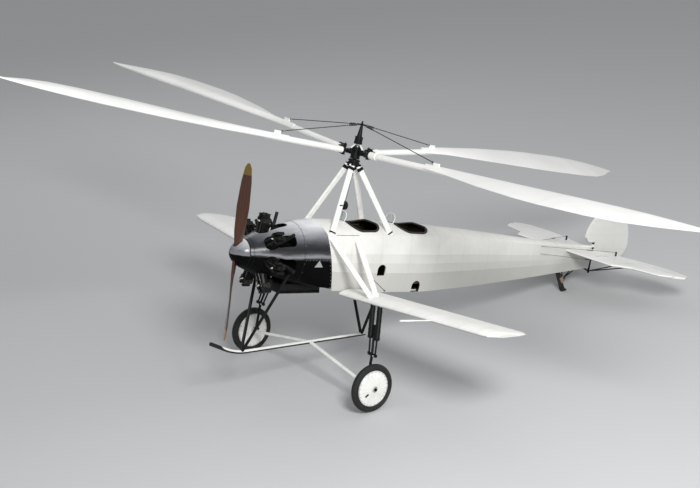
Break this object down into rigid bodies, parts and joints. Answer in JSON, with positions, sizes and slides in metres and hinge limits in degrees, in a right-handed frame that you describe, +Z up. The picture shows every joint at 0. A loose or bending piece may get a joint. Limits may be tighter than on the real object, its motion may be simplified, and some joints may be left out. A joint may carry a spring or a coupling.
{
  "type": "autogiro",
  "caption": "Two-seat autogiro with a tall strut pylon, free-turning bladed rotor, open radial engine, low stub wings, a long nose skid and a tailwheel-less tail skid.",
  "frame": {"origin": "on the ground, below the middle of the overall length and width, as the machine stands parked", "axes": "+X aft, +Y to starboard, +Z up; the thrust line slopes nose-up because the tail rests on its skid"},
  "size_m": [11.3972, 12.0306, 5.4178],
  "materials": {
    "blade_dope": "satin",
    "cable_steel": "satin",
    "coaming_leather": "satin",
    "cowl_metal": "gloss",
    "cylinder_iron": "satin",
    "dark_steel": "satin",
    "doped_fabric": "satin",
    "engine_alloy": "satin",
    "exhaust_steel": "satin",
    "floor_wood": "matte",
    "panel_black": "matte",
    "propeller_wood": "gloss",
    "screen_glass": "gloss",
    "seat_leather": "satin",
    "skid_wood": "matte",
    "strut_paint": "satin",
    "tyre_rubber": "matte",
    "wheel_paint": "satin"
  },
  "bodies": {
    "airframe": {"coamings": "coaming_leather", "cockpit_floor": "floor_wood", "control_columns": "dark_steel", "crankcase": "engine_alloy", "engine_cowl": "cowl_metal", "engine_cylinders": "cylinder_iron", "exhaust_stacks": "exhaust_steel", "firewall": "dark_steel", "fuselage_front": "doped_fabric", "fuselage_rear": "doped_fabric", "half_axles": "strut_paint", "instrument_panels": "panel_black", "nose_cowl": "cowl_metal", "nose_skid": "dark_steel", "oil_cooler": "dark_steel", "oleo_legs": "dark_steel", "pitot_tube": "dark_steel", "pylon_head": "dark_steel", "pylon_struts": "strut_paint", "seats": "seat_leather", "skid_struts": "dark_steel", "stern_post": "dark_steel", "tail_skid": "skid_wood", "tail_skid_frame": "dark_steel", "tail_struts": "dark_steel", "tailplane": "doped_fabric", "top_decking": "doped_fabric", "windscreens": "screen_glass", "wing_struts": "strut_paint", "wings": "doped_fabric"},
    "rotor": {"rotor_hub": "dark_steel", "rotor_mast": "dark_steel", "rotor_blade_1": "blade_dope", "rotor_blade_2": "blade_dope", "rotor_blade_3": "blade_dope", "rotor_blade_4": "blade_dope", "droop_cables": "cable_steel"},
    "propeller_body": {"spinner": "cowl_metal", "propeller": "propeller_wood"},
    "wheel_port_body": {"wheel_port": "wheel_paint", "tyre_port": "tyre_rubber"},
    "wheel_starboard_body": {"wheel_starboard": "wheel_paint", "tyre_starboard": "tyre_rubber"},
    "rudder_body": {"rudder": "doped_fabric"},
    "elevator_body": {"elevators": "doped_fabric", "elevator_tube": "dark_steel"},
    "aileron_port_body": {"aileron_port": "doped_fabric"},
    "aileron_starboard_body": {"aileron_starboard": "doped_fabric"}
  },
  "joints": [
    {"name": "rotor_spin", "type": "hinge", "parent": "airframe", "child": "rotor", "pos_m": [-0.09146, 0, 3.21735], "axis": [0.3201, 0, 0.9474], "continuous": true},
    {"name": "propeller_spin", "type": "hinge", "parent": "airframe", "child": "propeller_body", "pos_m": [-2.22096, 0, 2.22914], "axis": [-0.9704, 0, 0.2414], "continuous": true},
    {"name": "wheel_port_spin", "type": "hinge", "parent": "airframe", "child": "wheel_port_body", "pos_m": [-1.10475, -1.46, 0.345], "axis": [0, 1, 0], "continuous": true},
    {"name": "wheel_starboard_spin", "type": "hinge", "parent": "airframe", "child": "wheel_starboard_body", "pos_m": [-1.10475, 1.46, 0.345], "axis": [0, 1, 0], "continuous": true},
    {"name": "rudder_turn", "type": "hinge", "parent": "airframe", "child": "rudder_body", "pos_m": [4.73593, 0, 0.60177], "axis": [0.2414, 0, 0.9704], "range_deg": [-25, 25]},
    {"name": "elevator_turn", "type": "hinge", "parent": "airframe", "child": "elevator_body", "pos_m": [4.65861, 0, 0.56433], "axis": [0, 1, 0], "range_deg": [-25, 20]},
    {"name": "aileron_port_turn", "type": "hinge", "parent": "airframe", "child": "aileron_port_body", "pos_m": [-0.13957, -3.08, 1.43308], "axis": [-0.0202, 0.9965, -0.0812], "range_deg": [-18, 18]},
    {"name": "aileron_starboard_turn", "type": "hinge", "parent": "airframe", "child": "aileron_starboard_body", "pos_m": [-0.1645, 1.85, 1.33285], "axis": [0.0202, 0.9965, 0.0812], "range_deg": [-18, 18]}
  ]
}
